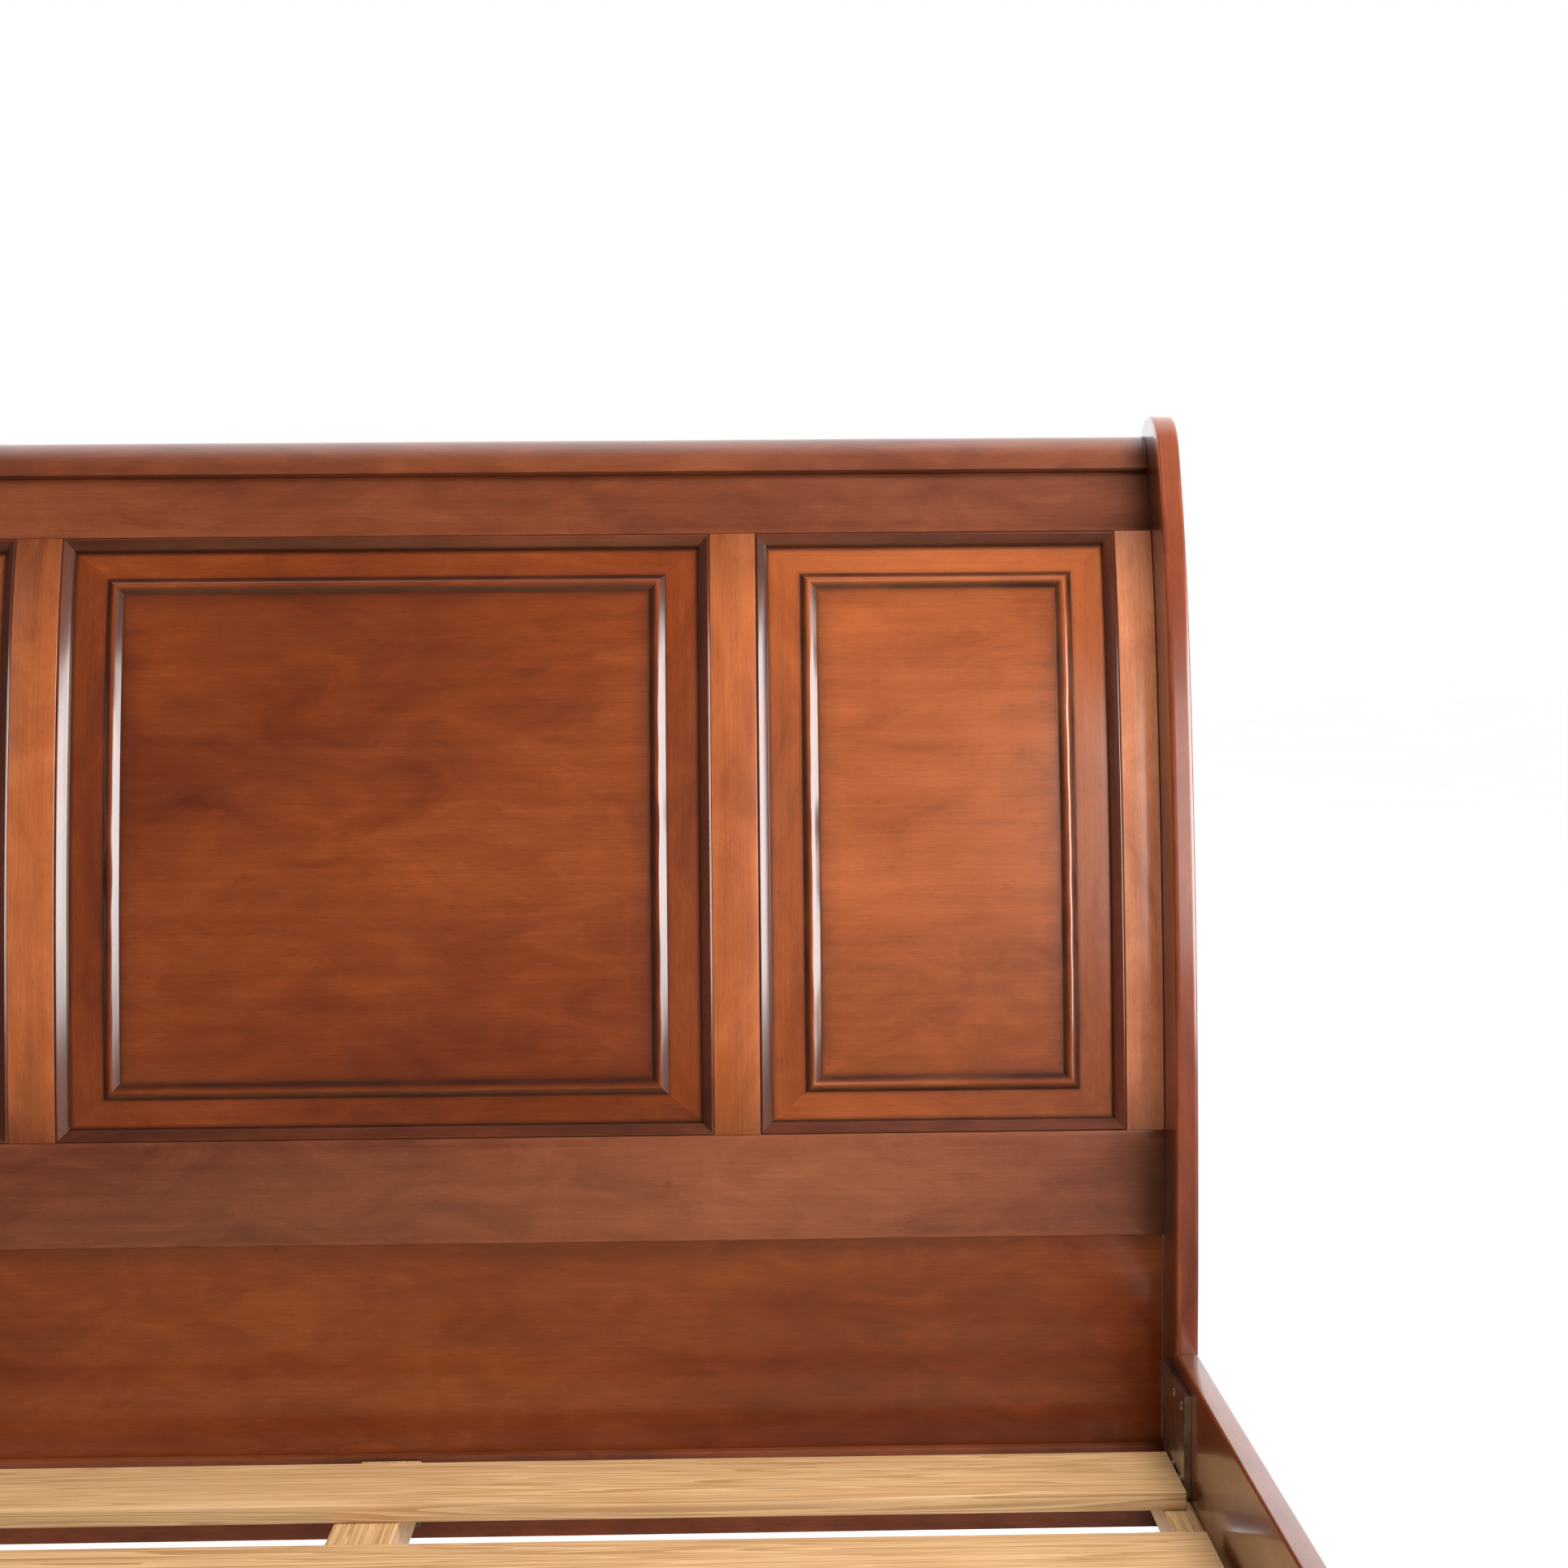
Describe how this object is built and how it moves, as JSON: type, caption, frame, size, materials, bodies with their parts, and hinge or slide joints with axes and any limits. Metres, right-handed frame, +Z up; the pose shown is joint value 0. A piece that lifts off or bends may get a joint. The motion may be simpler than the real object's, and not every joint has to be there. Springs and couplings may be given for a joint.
{
  "type": "sleigh bed",
  "caption": "Panelled wooden sleigh bed frame with curved scroll-top posts, raised-bead panels, hooked side rails and a slat deck, without a mattress.",
  "frame": {"origin": "centre of the overall box at floor level", "axes": "+Z up, +Y from the foot end to the head end, +X to the right as seen from the foot; the bed stands on its feet"},
  "size_m": [1.6, 2.3934, 1.3403],
  "materials": {
    "mahogany": "reddish-brown mahogany stain under semi-gloss lacquer, with dark glaze in the recesses",
    "slat_wood": "plain planed softwood, unfinished",
    "steel": "zinc-plated pressed steel"
  },
  "bodies": {
    "root": {"head_post_left": "mahogany", "head_post_right": "mahogany", "head_crest_roll": "mahogany", "head_top_rail": "mahogany", "head_middle_rail": "mahogany", "head_bottom_rail": "mahogany", "head_lower_panel": "mahogany", "head_stile_left": "mahogany", "head_stile_right": "mahogany", "head_muntin_left": "mahogany", "head_muntin_right": "mahogany", "head_panel_left": "mahogany", "head_moulding_left": "mahogany", "head_panel_centre": "mahogany", "head_moulding_centre": "mahogany", "head_panel_right": "mahogany", "head_moulding_right": "mahogany", "foot_post_left": "mahogany", "foot_post_right": "mahogany", "foot_crest_roll": "mahogany", "foot_top_rail": "mahogany", "foot_bottom_rail": "mahogany", "foot_stile_left": "mahogany", "foot_stile_right": "mahogany", "foot_muntin_left": "mahogany", "foot_muntin_right": "mahogany", "foot_panel_left": "mahogany", "foot_moulding_left": "mahogany", "foot_panel_centre": "mahogany", "foot_moulding_centre": "mahogany", "foot_panel_right": "mahogany", "foot_moulding_right": "mahogany", "side_rail_left": "mahogany", "slat_ledger_left": "slat_wood", "slot_plate_head_left": "steel", "hook_plate_head_left": "steel", "slot_plate_foot_left": "steel", "hook_plate_foot_left": "steel", "side_rail_right": "mahogany", "slat_ledger_right": "slat_wood", "slot_plate_head_right": "steel", "hook_plate_head_right": "steel", "slot_plate_foot_right": "steel", "hook_plate_foot_right": "steel", "centre_beam": "slat_wood", "cradle_head": "steel", "centre_leg_head": "slat_wood", "cradle_foot": "steel", "centre_leg_foot": "slat_wood", "slat_01": "slat_wood", "slat_02": "slat_wood", "slat_03": "slat_wood", "slat_04": "slat_wood", "slat_05": "slat_wood", "slat_06": "slat_wood", "slat_07": "slat_wood", "slat_08": "slat_wood", "slat_09": "slat_wood", "slat_10": "slat_wood", "slat_11": "slat_wood"}
  },
  "joints": []
}
